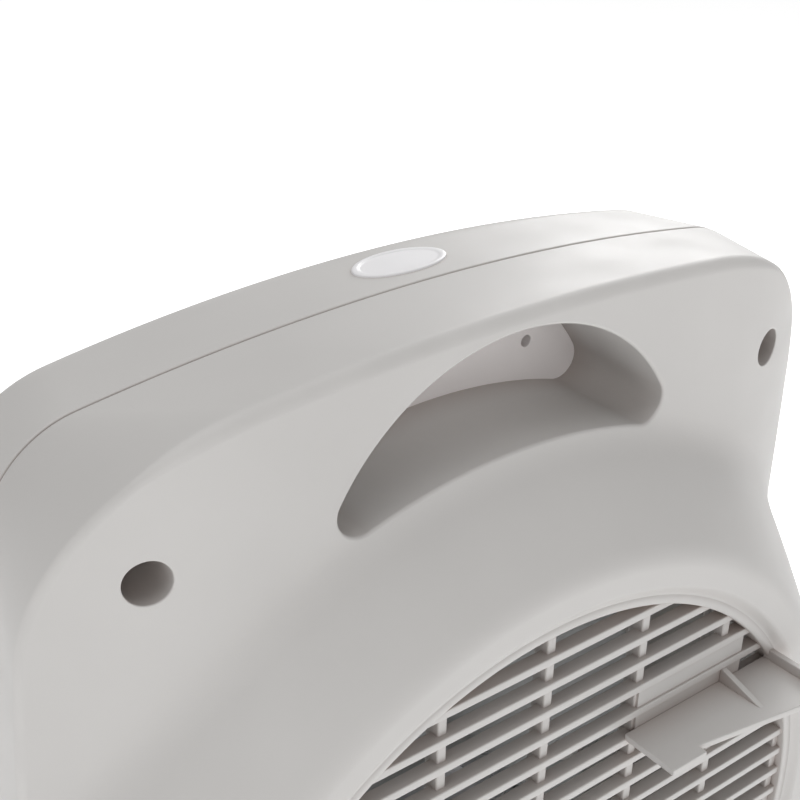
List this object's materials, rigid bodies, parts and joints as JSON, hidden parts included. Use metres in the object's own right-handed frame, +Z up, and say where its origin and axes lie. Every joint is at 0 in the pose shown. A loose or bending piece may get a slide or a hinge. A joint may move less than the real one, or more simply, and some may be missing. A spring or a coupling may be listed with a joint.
{
  "type": "box fan",
  "caption": "Portable box fan: rear grille with cord brackets, handle pocket, motor and blade, turning front louvre, knobs and feet.",
  "frame": {"origin": "on the floor under the middle of the fan's bounding box", "axes": "+X is the width, -Y the front with the louvre and knobs, +Y the rear with the grille and handle pocket, +Z up"},
  "size_m": [0.321, 0.145, 0.4255],
  "materials": {
    "shell": "fine satin, warm grey white",
    "facia": "satin mid grey",
    "blades": "smooth, pale grey",
    "switchgear": "moulded black",
    "terminals": "moulded cream",
    "pads": "matt black",
    "steel": "zinc plated",
    "laminations": "stacked dark steel sheets",
    "copper": "varnished copper wire",
    "bronze": "sintered bronze"
  },
  "bodies": {
    "housing": {"front_housing": "shell", "rear_housing": "shell", "rear_grille": "shell", "cord_brackets": "shell", "oval_badge": "shell", "control_plate": "facia", "housing_screws": "steel", "foot_left": "shell", "foot_right": "shell", "foot_screws": "steel", "rubber_pads": "pads", "cord_inlet": "facia", "motor_stator": "laminations", "motor_windings": "copper", "motor_front_bracket": "steel", "motor_rear_bracket": "steel", "motor_front_bush": "bronze", "motor_rear_bush": "bronze", "motor_screws": "steel", "louvre_spider": "facia", "louvre_axle": "steel", "spider_screws": "steel", "roller_motor": "steel", "roller_screws": "steel", "speed_switch": "switchgear", "timer_switch": "switchgear", "swing_switch": "switchgear", "run_capacitor": "switchgear", "terminal_block": "terminals"},
    "fan": {"motor_rotor": "laminations", "motor_shaft": "steel", "fan_blade": "blades", "spinner_nut": "facia"},
    "louvre": {"louvre_disc": "shell", "louvre_cap": "facia"},
    "roller": {"roller_shaft": "steel", "louvre_roller": "pads"},
    "speed": {"speed_shaft": "steel", "speed_knob": "facia"},
    "timer": {"timer_shaft": "steel", "timer_knob": "facia"},
    "swing": {"swing_button": "facia"}
  },
  "joints": [
    {"name": "fan_spin", "type": "hinge", "parent": "housing", "child": "fan", "pos_m": [0, 0, 0.198], "axis": [0, 1, 0], "continuous": true},
    {"name": "louvre_turn", "type": "hinge", "parent": "housing", "child": "louvre", "pos_m": [0, 0, 0.198], "axis": [0, 1, 0], "continuous": true},
    {"name": "roller_turn", "type": "hinge", "parent": "housing", "child": "roller", "pos_m": [-0.09007, 0, 0.31329], "axis": [0, 1, 0], "continuous": true},
    {"name": "speed_turn", "type": "hinge", "parent": "housing", "child": "speed", "pos_m": [-0.07, 0, 0.039], "axis": [0, 1, 0], "range_deg": [0, 150]},
    {"name": "timer_turn", "type": "hinge", "parent": "housing", "child": "timer", "pos_m": [0.07, 0, 0.039], "axis": [0, 1, 0], "range_deg": [0, 300]},
    {"name": "swing_press", "type": "slide", "parent": "housing", "child": "swing", "axis": [0, 1, 0], "range_m": [0, 0.003]}
  ],
  "couplings": [
    {"joint": "roller_turn", "follows": "louvre_turn", "ratio": -6.6842}
  ]
}
